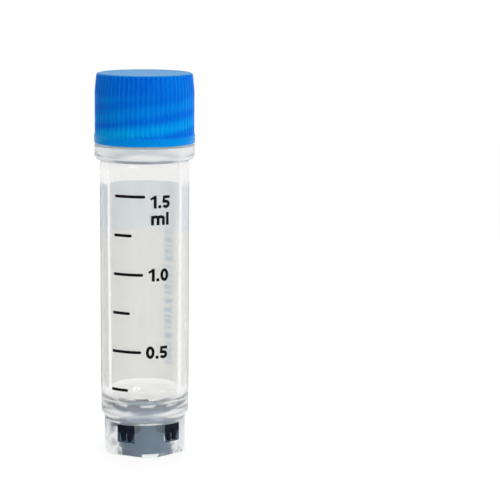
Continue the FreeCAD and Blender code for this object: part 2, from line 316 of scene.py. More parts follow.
@dataclass(frozen=True)
class BluePlastic:
    """Translucent blue polypropylene, paler where the neck's ridges bring light to the wall.
    The grooves between the ribs carry painted light, and the lid painted shade.

    Each fade gives two distances from a level, between which a zone begins or ends.
    """

    thread: "ScrewThread"
    collar: float
    rim: float
    band: float
    top: float
    ribs: int
    deep: tuple = (0.0, 0.112, 0.575)
    pale: tuple = (0.0, 0.240, 0.660)
    bright: tuple = (0.0, 0.345, 0.690)
    plain: tuple = (0.0, 0.250, 0.630)
    # painted shade: the lid is darker, against the strong light that falls on the top
    shaded_lid: tuple = (0.0, 0.140, 0.340)
    blur: float = 0.10
    thin: float = 0.20  # how much paler the grooves are: painted light, for what the thinner wall lets through and to lift their shade
    from_ridges: float = 0.52  # how far each of these takes the colour to the next tone
    from_clouds: float = 0.22
    from_lowest: float = 0.75
    from_band: float = 0.8
    fade_start: tuple = (-0.06, 0.10)  # in turns along a ridge
    fade_rim: tuple = (-1.6, 0.0)
    fade_lowest: tuple = (1.6, 4.2)
    fade_groove: tuple = (0.10, 0.28)  # in pitches of the ribs
    fade_band: tuple = (-0.35, 0.15)
    fade_lid: tuple = (-0.3, -0.02)
    roughness: float = 0.42
    smooth_band: float = 0.20
    smooth_lid: float = 0.08
    grain_rough: float = 0.08
    grain_mm: float = 0.004
    gloss: float = 0.07
    gloss_tint: tuple = (0.25, 0.65, 1.0)
    depth_mm: float = 0.8
    depth_tint: tuple = (0.2, 0.6, 1.0)
    depth_share: float = 0.85

    def glow(self, s: Shader) -> tuple[Value, Value]:
        """Light that the neck's ridges bring to the wall.

        Each ridge lies at z = first + lead (turn - start).  The glow falls off smoothly to
        either side of it, and is strongest where the lowest ridges begin.

        Args:
            s: the material's shader.

        Returns:
            The glow of the ridges, 0 to 1, and of the lowest part of the cap, 0 to 1.
        """
        z, turn = s.axes()[2], s.turn()
        starts, lead = self.thread.starts, self.thread.lead
        pitch, first = lead / starts, self.collar + self.thread.neck_first
        laps = ((z - first) * (1 / lead) - turn) * starts
        nearest = (laps + 0.5).math("FLOOR")
        off = abs(laps - nearest) * pitch
        ridge = 1.0 - off.smooth(self.blur, pitch / 2)
        # How far along its ridge the nearest point lies, which is below 0 before it begins.
        begun = (turn + nearest * (1 / starts)).smooth(*self.fade_start)
        inside = 1.0 - z.rise(self.rim, self.fade_rim)
        lowest = 1.0 - z.rise(self.collar, self.fade_lowest)
        return ridge * begun * inside, ridge * begun * lowest

    def grooves(self, s: Shader) -> Value:
        """Grooves between the ribs: 0 on a crest, 1 on a groove's floor."""
        laps = s.turn() * self.ribs - AHEAD * self.ribs / 360
        return 1.0 - abs(laps - (laps + 0.5).math("FLOOR")).smooth(*self.fade_groove)

    def material(self) -> Any:
        """Blue plastic whose depth of colour follows the clear thread behind it."""
        s = Shader("blue_plastic")
        ridge, low = self.glow(s)
        cloud, grain = s.noise(0.25), s.noise(9.0, 3.0)
        paler = ridge * self.from_ridges + cloud.smooth(*CLOUD) * self.from_clouds
        body = s.mix(low * self.from_lowest, s.mix(paler, self.deep, self.pale), self.bright)
        # painted light: paler in the grooves between the ribs, lifting their shade
        body = s.mix(self.grooves(s) * self.thin, body, self.bright)
        z = s.axes()[2]
        band = 1.0 - z.rise(self.band, self.fade_band)
        # painted shade: the top face takes the darker lid colour
        shaded_lid = z.rise(self.top, self.fade_lid)
        body = s.mix(shaded_lid, s.mix(band * self.from_band, body, self.plain), self.shaded_lid)
        rough = (self.roughness - band * self.smooth_band - shaded_lid * self.smooth_lid
                 + self.grain_rough * grain)
        return s.finish(s.principled(
            Base_Color=body, Roughness=rough, IOR=IOR, Specular_IOR_Level=self.gloss,
            Specular_Tint=self.gloss_tint, Subsurface_Weight=self.depth_share,
            Subsurface_Radius=self.depth_tint, Subsurface_Scale=self.depth_mm * MM,
            Normal=s.bump(grain + s.noise(0.9), self.grain_mm)))


@dataclass(frozen=True)
class BlackPlastic:
    """Black moulded plastic with fine grain, and a painted greyer sheen on its cup."""

    r_cup: float  # radius of the cup, outside which the tabs lie
    colour: tuple = (0.004, 0.007, 0.016)
    worn: tuple = (0.008, 0.012, 0.022)
    # painted sheen: inside the tabs the cup is greyer and bluer, as if it caught light
    cup: tuple = (0.088, 0.140, 0.210)
    fade_cup_sheen: tuple = (0.05, 0.3)
    roughness: float = 0.30
    grain_rough: float = 0.15
    grain_mm: float = 0.003
    gloss: float = 0.05

    def material(self) -> Any:
        """Near-black and satin, faintly uneven, with a painted greyer sheen on the cup."""
        s = Shader("black_plastic")
        cloud, grain = s.noise(0.6), s.noise(12.0, 3.0)
        # painted sheen on the cup, inside r_cup; the tabs keep the near-black colour
        body = s.mix(s.reach().rise(self.r_cup, self.fade_cup_sheen), self.cup,
                     s.mix(cloud.smooth(*CLOUD), self.colour, self.worn))
        return s.finish(s.principled(
            Base_Color=body, Roughness=self.roughness + self.grain_rough * grain, IOR=IOR,
            Specular_IOR_Level=self.gloss, Normal=s.bump(grain, self.grain_mm)))


@dataclass(frozen=True)
class Silicone:
    """Milky elastic ring."""

    colour: tuple = (0.72, 0.73, 0.72)
    paler: tuple = (0.80, 0.81, 0.80)
    roughness: float = 0.45
    grain_rough: float = 0.1
    grain_mm: float = 0.003
    depth_mm: float = 0.6
    depth_share: float = 0.3

    def material(self) -> Any:
        """Soft, matt and slightly translucent."""
        s = Shader("silicone")
        grain = s.noise(6.0, 3.0)
        return s.finish(s.principled(
            Base_Color=s.mix(grain, self.colour, self.paler),
            Roughness=self.roughness + self.grain_rough * grain,
            Subsurface_Weight=self.depth_share, Subsurface_Radius=(1.0, 1.0, 1.0),
            Subsurface_Scale=self.depth_mm * MM, Normal=s.bump(grain, self.grain_mm)))


@dataclass(frozen=True)
class Ink:
    """Screen-printed ink: a thin coat with a slightly uneven gloss."""

    name: str
    colour: tuple
    thin: tuple
    let_through: float = 0.0
    uneven: float = 0.1
    open_share: float = 0.0  # share of each face left bare between the ink's dots
    open_tint: tuple = (1.0, 1.0, 1.0)
    roughness: float = 0.38
    grain_rough: float = 0.1
    grain_mm: float = 0.002
    gloss: float = 0.05
    cloud: tuple = (0.25, 0.8)
    cap_reflection: tuple | None = None  # tone of the block at the top of a panel: a painted bluish reflection of the cap
    z_cap_reflection: float = 0.0
    fade_cap_reflection: tuple = (-0.6, 0.6)

    def material(self) -> Any:
        """Ink coat that may let a share of the light behind it through."""
        s = Shader(self.name)
        patch, grain = s.noise(1.5, 3.0), s.noise(14.0)
        body = s.mix(patch.smooth(*self.cloud), self.colour, self.thin)
        # painted reflection: the panel's top turns bluish, for the blue cap above it
        if self.cap_reflection:
            body = s.mix(s.axes()[2].rise(self.z_cap_reflection, self.fade_cap_reflection), body, self.cap_reflection)
        coat = s.principled(Base_Color=body, Roughness=self.roughness + self.grain_rough * grain,
                            Specular_IOR_Level=self.gloss, Normal=s.bump(grain, self.grain_mm))
        if self.open_share:
            bare = s.coloured("ShaderNodeBsdfTransparent", self.open_tint)
            return s.finish(s.blend(self.open_share, coat, bare))
        if not self.let_through:
            return s.finish(coat)
        share = self.let_through * ((1.0 - self.uneven / 2) + self.uneven * patch)
        return s.finish(s.blend(share, coat, s.coloured("ShaderNodeBsdfTranslucent", body)))


# ---- surfaces ----

Grid = np.ndarray
TINY = 1e-6  # mm, below which two points are one
INNERMOST = 0.02  # mm, radius of the last ring before the axis


def line(start: tuple, end: tuple, steps: int) -> Grid:
    """Evenly spaced (r, z) points of a straight run, both ends included."""
    share = np.linspace(0.0, 1.0, steps + 1)[:, None]
    return np.array(start) * (1 - share) + np.array(end) * share


def bend(centre: tuple, radius: float, first: float, last: float, steps: int) -> Grid:
    """Points of a circular arc: centre + radius (cos a, sin a), a from first to last degrees."""
    a = np.radians(np.linspace(first, last, steps + 1))
    return np.array(centre) + radius * np.stack([np.cos(a), np.sin(a)], 1)


def run_of(*parts: Grid) -> Grid:
    """One profile from runs that meet end to end, each repeated point dropped."""
    rows = np.concatenate(parts)
    keep = np.r_[True, np.linalg.norm(np.diff(rows, axis=0), axis=1) > TINY]
    return rows[keep]


def profile(start: Any, *runs: Any) -> Grid:
    """Profile through corners and bends.

    Args:
        start: its first point, or a bend.
        runs: each a bend, or a point and the steps of a straight run to it.

    Returns:
        Its (r, z) rows.
    """
    rows = np.reshape(np.array(start, float), (-1, 2))
    for run in runs:
        rows = run_of(rows, run if isinstance(run, np.ndarray) else line(rows[-1], *run))
    return rows


def revolve(r: Grid, z: Grid, degrees: Grid) -> Grid:
    """Points (r cos a, r sin a, z) of a turned surface, a counted from straight ahead."""
    a = np.radians(degrees + AHEAD)
    return np.stack([r * np.cos(a), r * np.sin(a), z * np.ones_like(a)], -1)


def quads(rows: int, columns: int, closed: bool = True) -> Grid:
    """Corner numbers of a grid's cells, row by row.

    Args:
        rows: points along the first way.
        columns: points along the second way.
        closed: whether the last column joins the first.

    Returns:
        An array of (cells, 4) numbers.
    """
    i = np.arange(rows - 1)[:, None]
    j = np.arange(columns if closed else columns - 1)[None, :]
    k = (j + 1) % columns
    here, above = i * columns, (i + 1) * columns
    return np.stack([here + j, here + k, above + k, above + j], -1).reshape(-1, 4)


def pole(row: int, columns: int, tip: int) -> Grid:
    """Triangles that close a row of points, which is a ring, onto one tip."""
    j = np.arange(columns)
    k = (j + 1) % columns
    return np.stack([row * columns + k, row * columns + j, np.full(columns, tip)], -1)


def closed(grid: Grid, tips: Any) -> tuple[Grid, Grid, Grid, Grid]:
    """Shell from a grid of rings, closed onto a point at both ends.

    Args:
        grid: (rings, columns, 3) points.
        tips: the point past the first ring and the point past the last.

    Returns:
        Its points, its cells and the triangles at both ends.
    """
    rows, columns = grid.shape[:2]
    n = rows * columns
    last = pole(rows - 1, columns, n + 1)[:, ::-1]
    points = np.concatenate([grid.reshape(-1, 3), tips])
    return points, quads(rows, columns), pole(0, columns, n), last


def spread(rows: Grid, columns: int) -> tuple[Grid, Grid]:
    """Radii and heights of a profile, repeated in every column."""
    return np.repeat(rows[:, :1], columns, 1), np.repeat(rows[:, 1:], columns, 1)


def axis_tips(rows: Grid) -> list:
    """Points on the axis at the heights of a profile's two ends."""
    return [[0, 0, rows[0, 1]], [0, 0, rows[-1, 1]]]


def slab(top: Grid, under: Grid) -> tuple[Grid, Grid]:
    """Closed thin plate between two grids of the same size.

    Args:
        top: (n, m, 3) points of the outer face.
        under: the matching points of the inner face.

    Returns:
        Its points and its cells.
    """
    n, m = top.shape[:2]
    points = np.concatenate([top.reshape(-1, 3), under.reshape(-1, 3)])
    face = quads(n, m, False)
    number = np.arange(n * m).reshape(n, m)
    rim = np.concatenate([number[0, :-1], number[:-1, -1], number[-1, :0:-1], number[:0:-1, 0]])
    after = np.roll(rim, -1)
    wall = np.stack([rim, rim + n * m, after + n * m, after], -1)
    return points, np.concatenate([face, face[:, ::-1] + n * m, wall])


def enclosed(points: Grid, cells: Sequence[Grid]) -> float:
    """Signed volume inside a closed mesh: a sixth of the sum of its triangles' triple products."""
    total = 0.0
    for cell in cells:
        for k in range(1, cell.shape[1] - 1):
            a, b, c = (points[cell[:, i]] for i in (0, k, k + 1))
            total += float(np.einsum("ij,ij->", a, np.cross(b, c)))
    return total / 6


def in_scene(name: str, data: Any) -> Any:
    """Object of that name and data, linked into the scene."""
    made = bpy.data.objects.new(name, data)
    bpy.context.scene.collection.objects.link(made)
    return made


@dataclass
class Piece:
    """A mesh in the making: closed shells that share one object, material and body."""

    name: str
    body: str
    slot: str
    material: Any
    sharp: float = 35.0
    points: list[Grid] = field(default_factory=list)
    cells: list[Grid] = field(default_factory=list)
    count: int = 0

    def add(self, points: Grid, *cells: Grid) -> None:
        """Adds one closed shell in millimetres, turned so that its faces point outwards."""
        flat = points.reshape(-1, 3)
        flip = enclosed(flat, cells) < 0
        for cell in cells:
            self.cells.append((cell[:, ::-1] if flip else cell) + self.count)
        self.points.append(flat)
        self.count += len(flat)

    def make(self, *replaced: str) -> Any:
        """Makes the object and ties it to its body.

        Args:
            replaced: names of the frame's nodes that it stands for.

        Returns:
            The Blender object.
        """
        mesh = bpy.data.meshes.new(self.name)
        faces = [row for cell in self.cells for row in cell.tolist()]
        mesh.from_pydata((np.concatenate(self.points) * MM).tolist(), [], faces)
        mesh.validate()
        mesh.polygons.foreach_set("use_smooth", np.ones(len(mesh.polygons), bool))
        mesh.set_sharp_from_angle(angle=math.radians(self.sharp))
        mesh.materials.append(self.material)
        made = in_scene(self.name, mesh)
        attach(made, self.body)
        if replaced:
            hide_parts(*replaced)
        log.info("%-14s %7d faces, on %s", self.name, len(mesh.polygons), self.body)
        return made


# ---- the screw thread ----

@dataclass(frozen=True)
class ScrewThread:
    """Right-handed thread of several starts, as a height over a cylinder."""

    starts: int = 2
    lead: float = 4.6
    depth: float = 0.50
    root_width: float = 1.10
    crest_width: float = 0.45
    runout: float = 0.09
    neck_first: float = 1.05
    neck_last: float = 0.95
    cap_first: float = 1.10
    cap_last: float = 1.29
    clear: float = 0.10
    flank_clear: float = 0.09

    def height(self, turn: Grid, z: Grid, z_start: float, length: float, first: float) -> Grid:
        """Height of the ridges over their wall.

        A ridge's centre climbs by the lead in each turn: z = z_start + lead run.  Across it the
        height falls linearly from crest to root, and it eases in and out at the ridge's ends.

        Args:
            turn: turns round the axis from +X, anticlockwise.
            z: heights of the same points.
            z_start: where the ridge's centre begins.
            length: turns that the ridge runs.
            first: turn at which the first ridge begins.

        Returns:
            Heights from 0 to the thread's depth.
        """
        start = np.arange(self.starts).reshape(-1, 1, 1, 1) / self.starts
        lap = np.arange(-1, math.ceil(length) + 1).reshape(1, -1, 1, 1)
        run = (turn - first - start) % 1.0 + lap
        off = np.abs(z - z_start - self.lead * run)
        flank = (self.root_width - self.crest_width) / 2
        across = np.clip((self.root_width / 2 - off) / flank, 0, 1)
        ends = np.clip(np.minimum(run, length - run) / self.runout, 0, 1)
        return self.depth * (across * ends * ends * (3 - 2 * ends)).max(axis=(0, 1))

    def neck_turns(self, collar: float, rim: float) -> float:
        """Turns of each ridge on a neck between collar and rim heights."""
        return (rim - collar - self.neck_first - self.neck_last) / self.lead

    def cap_start(self, mouth: float) -> float:
        """Height at which the cap's ridges begin."""
        return mouth + self.cap_first

    def cap_turns(self, mouth: float, rim: float) -> float:
        """Turns of each ridge in the cap."""
        return (rim - self.cap_last - self.cap_start(mouth)) / self.lead

    def cap_turn(self, mouth: float, collar: float) -> float:
        """Turn at which the cap's first ridge begins, so that it hangs under the neck's ridge."""
        flanks = (self.root_width - self.crest_width) * (1 + self.clear / self.depth)
        drop = self.root_width - flanks / 2 + self.flank_clear
        return (self.cap_start(mouth) - (collar + self.neck_first - drop)) / self.lead


@dataclass(frozen=True)
class Frame:
    """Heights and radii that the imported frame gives, in millimetres."""

    rim: float
    r_collar: float
    mouth: float
    top: float
    r_band: float
    ceiling: float
    r_seal: float
    under: float

    @staticmethod
    def read() -> "Frame":
        """Reads them from the boxes of the frame's nodes."""
        nodes = ("vial_tube", "screw_cap", "seal_ring", "code_insert")
        tube, cap, seal, insert = (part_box(n) for n in nodes)
        return Frame(rim=tube[1][2] / MM, r_collar=tube[1][0] / MM, mouth=cap[0][2] / MM,
                     top=cap[1][2] / MM, r_band=cap[1][0] / MM, ceiling=seal[1][2] / MM,
                     r_seal=seal[1][0] / MM, under=insert[1][2] / MM)


# ---- the tube ----

@dataclass
class ClearTube:
    """Tube with barrel, bore, collar, threaded neck and star foot, in one moulding."""

    at: Frame
    thread: ScrewThread
    r_barrel: float = 5.54
    r_barrel_foot: float = 5.48
    r_bore: float = 4.42
    r_bore_foot: float = 4.20
    r_neck: float = 4.95
    r_foot: float = 5.05
    r_foot_in: float = 4.45
    shoulder: float = 4.62
    shoulder_rise: float = 0.93
    floor: float = 0.70
    bowl_depth: float = 2.85
    knuckle: float = 2.0
    pole_turn: float = -89.8  # where the bowl's last ring lies
    collar_height: float = 1.85
    collar_gap: float = 0.26
    collar_turn: float = -83.0  # where the round under the collar begins
    edge: float = 0.08
    rim_round: float = 0.15
    toes: int = 5
    toe_turn: float = 7.5
    bevel_height: float = 1.35
    bevel_left: float = 0.04
    window_half: float = 1.23
    window_low: float = 1.82
    sector: int = 80  # columns from toe to toe
    window_columns: int = 15  # columns from a window's middle to its side
    neck_steps: int = 92  # rows up the threaded neck

    @property
    def collar(self) -> float:
        """Height of the collar's top."""
        return self.at.mouth - self.collar_gap

    @property
    def z_bottom(self) -> float:
        """Height at which the bore's rounded bottom begins."""
        return self.at.under + self.floor + self.bowl_depth

    def barrel_radius(self, z: Grid) -> Grid:
        """Outside radius of the slightly tapered barrel at a height."""
        low, high = self.shoulder + self.shoulder_rise, self.collar - self.collar_height
        share = (z - low) / (high - low)
        return self.r_barrel_foot + (self.r_barrel - self.r_barrel_foot) * share

    def foot_rows(self) -> Grid:
        """Profile from the axis under the tube's bottom, round the skirt, up to the shoulder."""
        under, low, r_in, r = self.at.under, self.window_low, self.r_foot_in, self.r_foot
        return profile((INNERMOST, under), ((r_in, under), 8), ((r_in, low), 4), ((r_in, 0), 3),
                       ((r, 0), 1), ((r, self.bevel_height), 18), ((r, low), 2), ((r, under), 4),
                       ((r, self.shoulder), 2))

    def body_rows(self) -> Grid:
        """Profile of the shoulder, barrel and collar."""
        r, r_low, rise, e, c = (self.r_barrel, self.r_barrel_foot, self.shoulder_rise, self.edge,
                                self.at.r_collar)
        step, proud = r_low - self.r_foot, c - r
        swell = (step ** 2 + rise ** 2) / (2 * step)
        turned = math.degrees(math.asin(rise / swell))
        z_swell, z_under = self.shoulder + rise, self.collar - self.collar_height
        return profile(
            bend((r_low - swell, z_swell), swell, -turned, 0, 14), ((r, z_under - e), 12),
            bend((r + e, z_under - e), e, 180, 90, 4),
            bend((r, z_under + proud), proud, self.collar_turn, 0, 14), ((c, self.collar - e), 3),
            bend((c - e, self.collar - e), e, 0, 90, 4), ((self.r_neck, self.collar), 4))

    def neck_rows(self) -> Grid:
        """Profile of the neck, its rim and the bore down to the bowl's pole."""
        b, r, low = self.rim_round, self.r_neck - self.rim_round, self.at.rim - self.rim_round
        return profile(
            (self.r_neck, self.collar), ((self.r_neck, low), self.neck_steps),
            bend((r, low), b, 0, 90, 4), ((self.r_bore + b, self.at.rim), 1),
            bend((self.r_bore + b, low), b, 90, 180, 4), ((self.r_bore_foot, self.z_bottom), 12),
            self.bowl_rows())

    def bowl_rows(self) -> Grid:
        """Rounded bottom of the bore: a knuckle, then a crown whose circle meets it smoothly."""
        k, depth = self.knuckle, self.bowl_depth
        reach = self.r_bore_foot - k
        crown = (reach ** 2 + depth ** 2 - k ** 2) / (2 * (depth - k))
        z_low = self.at.under + self.floor
        meet = math.degrees(math.atan2(depth - crown, reach))
        return profile(bend((reach, z_low + depth), k, 0, meet, 12),
                       bend((0, z_low + crown), crown, meet, self.pole_turn, 20))

    def angles(self, rows: Grid, first_outer: int) -> Grid:
        """Angle of each point from straight ahead.

        Columns spread evenly from toe to toe, except on the foot, where they close up or open
        out so that two of them run along each window's sides.

        Args:
            rows: (r, z) of the profile.
            first_outer: row at which the skirt's outside begins.

        Returns:
            Degrees, one row of columns for each profile row.
        """
        half = 180 / self.toes
        even = np.linspace(-half, half, self.sector, endpoint=False)
        side = self.window_columns * 2 * half / self.sector
        out = []
        for row in range(len(rows)):
            r = self.r_foot_in if row < first_outer else self.r_foot
            on_foot = rows[row, 1] <= self.shoulder
            want = math.degrees(math.asin(self.window_half / r)) if on_foot else side
            out.append(np.interp(even, [-half, -side, side, half], [-half, -want, want, half]))
        middles = self.toe_turn + half + 2 * half * np.arange(self.toes)
        return (middles[None, :, None] + np.array(out)[:, None, :]).reshape(len(rows), -1)

    def build(self, material: Any) -> Any:
        """Makes the tube: a turned grid with flats, thread and windows worked into it."""
        neck = self.neck_rows()
        rows = run_of(self.foot_rows(), self.body_rows(), neck)
        outer = int(np.argmax(rows[:, 0] == self.r_foot))
        degrees = self.angles(rows, outer)
        r, z = spread(rows, degrees.shape[1])
        r = self.cut_flats(r, z, degrees, outer)
        first = len(rows) - len(neck)
        band = slice(first, first + self.neck_steps + 1)
        turns = self.thread.neck_turns(self.collar, self.at.rim)
        r[band] += self.thread.height((degrees[band] + AHEAD) / 360, z[band],
                                      self.collar + self.thread.neck_first, turns, 0.0)
        under = self.at.under
        tips = [[0, 0, under], [0, 0, under + self.floor]]
        points, cells, *ends = closed(revolve(r, z, degrees), tips)
        piece = Piece("clear_tube", "vial", "clear_pp", material, sharp=28.0)
        piece.add(points, *self.windows(rows, outer, cells), *ends)
        return piece.make("vial_tube")

    def cut_flats(self, r: Grid, z: Grid, degrees: Grid, outer: int) -> Grid:
        """Radius of the foot after its sloping flats: the lesser of r and d(z) / cos u.

        d is the flat's distance from the axis at a height, u the angle from the flat's middle.
        """
        inner = self.r_foot_in + self.bevel_left
        slope = (self.r_foot - inner) / self.bevel_height
        half = 180 / self.toes
        u = (degrees - self.toe_turn) % (2 * half) - half
        flat = (inner + z * slope) / np.cos(np.radians(u))
        on_skirt = (np.arange(len(r))[:, None] >= outer) & (z <= self.bevel_height)
        return np.where(on_skirt, np.minimum(r, flat), r)

    def windows(self, rows: Grid, outer: int, cells: Grid) -> tuple[Grid, Grid]:
        """Cells of the grid with the windows left out, and the faces round each opening.

        Args:
            rows: the profile.
            outer: row at which the skirt's outside begins.
            cells: the whole grid's cells.

        Returns:
            The remaining cells and the reveals, which join the inner and outer openings.
        """
        (r, z), n, half = rows.T, np.arange(len(rows)), self.window_columns
        above = z >= self.window_low - TINY
        inside = n[(n < outer) & (r == self.r_foot_in) & above]
        outside = n[(n >= outer) & (r == self.r_foot) & above & (z <= self.at.under + TINY)]
        columns = self.sector * self.toes
        middle = self.sector // 2 + self.sector * np.arange(self.toes)
        across = (middle[:, None] + np.arange(-half, half)).ravel() % columns
        cells = cells.reshape(-1, columns, 4)
        keep = np.ones(cells.shape[:2], bool)
        keep[inside[:-1, None], across] = False
        keep[outside[:-1, None], across] = False
        up_in, up_out = inside[::-1], outside
        edges = []
        for row_in, row_out, way in ((up_in[0], up_out[0], 1), (up_in[-1], up_out[-1], -1)):
            a, b = row_in * columns + across, row_in * columns + (across + 1) % columns
            c, d = row_out * columns + (across + 1) % columns, row_out * columns + across
            edges.append(np.stack([a, b, c, d][::way], -1))
        for side, way in ((-half, -1), (half, 1)):
            column = (middle + side)[:, None] % columns
            a, b = up_in[:-1] * columns + column, up_in[1:] * columns + column
            c, d = up_out[1:] * columns + column, up_out[:-1] * columns + column
            edges.append(np.stack([x.ravel() for x in [a, b, c, d][::way]], -1))
        return cells[keep], np.concatenate(edges)


# ---- the cap ----

@dataclass
class ScrewCap:
    """Ribbed cap with a plain band, an inside thread and a centring plug."""

    at: Frame
    thread: ScrewThread
    r_rib: float = 6.17
    r_root: float = 5.55
    r_plug: float = 3.97
    plug_wall: float = 0.80
    plug_depth: float = 1.70
    plug_nose: float = 0.25
    edge: float = 0.33
    draw_in: float = 0.18
    lean: float = 2.3
    ribs: int = 62
    per_rib: int = 10
    rib_depth: float = 0.10
    rib_crest: float = 0.46
    rib_floor: float = 0.20
    band: float = 1.02
    band_edge: float = 0.08
    mouth_break: float = 0.25
    collar_gap: float = 0.26
    dish: float = 0.03  # how far the lid's middle is sunk
    dish_far: float = 0.5  # from the rounded edge to the dish
    dish_near: float = 0.35
    lid_steps: int = 9  # rows over the lid, before its rounded edge
    ramp_steps: int = 8  # rows down the slope above the band
    wall_steps: int = 84  # rows up the threaded wall

    @property
    def z_band(self) -> float:
        """Height at which the plain band ends and the ribs begin."""
        return self.at.mouth + self.band

    @property
    def ramp(self) -> float:
        """Height of the slope from the grooves' floors out to the band."""
        return self.at.r_band - self.r_rib + self.rib_depth

    def rows(self) -> tuple[Grid, int, slice]:
        """Profile from the top's middle down the outside, in at the mouth and up to the plug.

        Returns:
            The (r, z) rows, the row at which the band begins, and the rows of the inside thread.
        """
        top, mouth, e, b, p = (self.at.top, self.at.mouth, self.edge, self.band_edge,
                               self.mouth_break)
        r_rib, r_band, r_root, ceiling = self.r_rib, self.at.r_band, self.r_root, self.at.ceiling
        r_top, r_flat, half_ramp = r_rib - self.draw_in, r_rib - self.draw_in - e, self.ramp / 2
        z_dish, z_ramp = top - self.dish, self.z_band + half_ramp
        outside = profile(
            (INNERMOST, z_dish), ((r_flat - self.dish_far, z_dish), self.lid_steps - 3),
            ((r_flat - self.dish_near, top), 3), bend((r_flat, top - e), e, 90, 4, 12),
            ((r_top, top - e), 1), ((r_rib, top - self.lean), 10), ((r_rib, z_ramp), 8))
        band = profile(
            (r_rib, z_ramp), ((r_band, self.z_band - half_ramp), self.ramp_steps),
            ((r_band, mouth + b), 3), bend((r_band - b, mouth + b), b, 0, -90, 4),
            ((r_root + p, mouth), 1), ((r_root, mouth + p), 2))
        first = len(outside) + len(band) - 2
        wall = line((r_root, mouth + p), (r_root, ceiling), self.wall_steps)
        r_plug, z_nose, n = self.r_plug, ceiling - self.plug_depth, self.plug_nose
        r_in = r_plug - self.plug_wall
        inside = profile((r_root, ceiling), ((r_plug, ceiling), 2), ((r_plug, z_nose + n), 2),
                         ((r_plug - n, z_nose), 3), ((r_in, z_nose), 1), ((r_in, ceiling), 2),
                         ((INNERMOST, ceiling), 3))
        rows = run_of(outside, band, wall, inside)
        return rows, len(outside) - 1, slice(first, first + len(wall))

    def groove(self, degrees: Grid) -> Grid:
        """Depth of the groove between ribs, from 0 on a crest to 1 on its floor.

        Across one rib's pitch the depth is a trapezoid, eased at its corners.
        """
        phase = np.abs((degrees * self.ribs / 360) % 1.0 - 0.5) * 2
        share = np.clip((phase - self.rib_crest) / (1 - self.rib_floor - self.rib_crest), 0, 1)
        return share * share * (3 - 2 * share)

    def build(self, material: Any) -> Any:
        """Makes the cap: a turned grid whose outside carries ribs and inside a thread."""
        rows, band_row, inner = self.rows()
        columns = self.ribs * self.per_rib
        degrees = np.arange(columns)[None, :] * 360 / columns
        r, z = spread(rows, columns)
        # Grooves fade in over the rounded top edge and run out on the slope above the band.
        at_row = np.arange(len(rows))[:, None]
        fade_top = np.clip((self.at.top - z) / self.edge, 0, 1)
        fade_low = np.clip((z - (self.z_band - self.ramp / 2)) / self.ramp, 0, 1)
        share = fade_top * np.where(at_row <= band_row, 1.0, fade_low)
        outside = (at_row <= band_row + self.ramp_steps) & (at_row > self.lid_steps)
        r = r - np.where(outside, self.rib_depth * self.groove(degrees) * share, 0)
        collar, mouth = self.at.mouth - self.collar_gap, self.at.mouth
        turn = np.repeat((degrees + AHEAD) / 360, inner.stop - inner.start, 0)
        r[inner] -= self.thread.height(
            turn, z[inner], self.thread.cap_start(mouth), self.thread.cap_turns(mouth, self.at.rim),
            self.thread.cap_turn(mouth, collar))
        piece = Piece("ribbed_cap", "cap", "blue_pp", material, sharp=40.0)
        piece.add(*closed(revolve(r, z, np.repeat(degrees, len(rows), 0)), axis_tips(rows)))
        return piece.make("screw_cap")


# ---- seal and insert ----

def turned_ring(rows: Grid, columns: int) -> tuple[Grid, Grid]:
    """Points and cells of a ring swept round the axis from a closed loop of (r, z) rows."""
    degrees = np.arange(columns)[None, :] * 360 / columns
    grid = revolve(*spread(rows, columns), np.repeat(degrees, len(rows), 0))
    closing = quads(2, columns)
    closing = np.where(closing < columns, closing + (len(rows) - 1) * columns, closing - columns)
    return grid.reshape(-1, 3), np.concatenate([quads(len(rows), columns), closing])


@dataclass
class SealRing:
    """Soft ring between the neck's rim and the cap's ceiling."""

    at: Frame
    r_in: float = 4.02
    edge: float = 0.14

    def build(self, material: Any) -> Any:
        """Makes the ring with rounded edges."""
        b = self.edge
        r_in, r, low, high = self.r_in + b, self.at.r_seal - b, self.at.rim + b, self.at.ceiling - b
        corners = ((r_in, low, 180), (r, low, 270), (r, high, 0), (r_in, high, 90))
        rows = run_of(*(bend((x, z), b, turn, turn + 90, 5) for x, z, turn in corners))
        piece = Piece("seal_gasket", "seal", "seal", material, sharp=60.0)
        piece.add(*turned_ring(rows, 180))
        return piece.make("seal_ring")


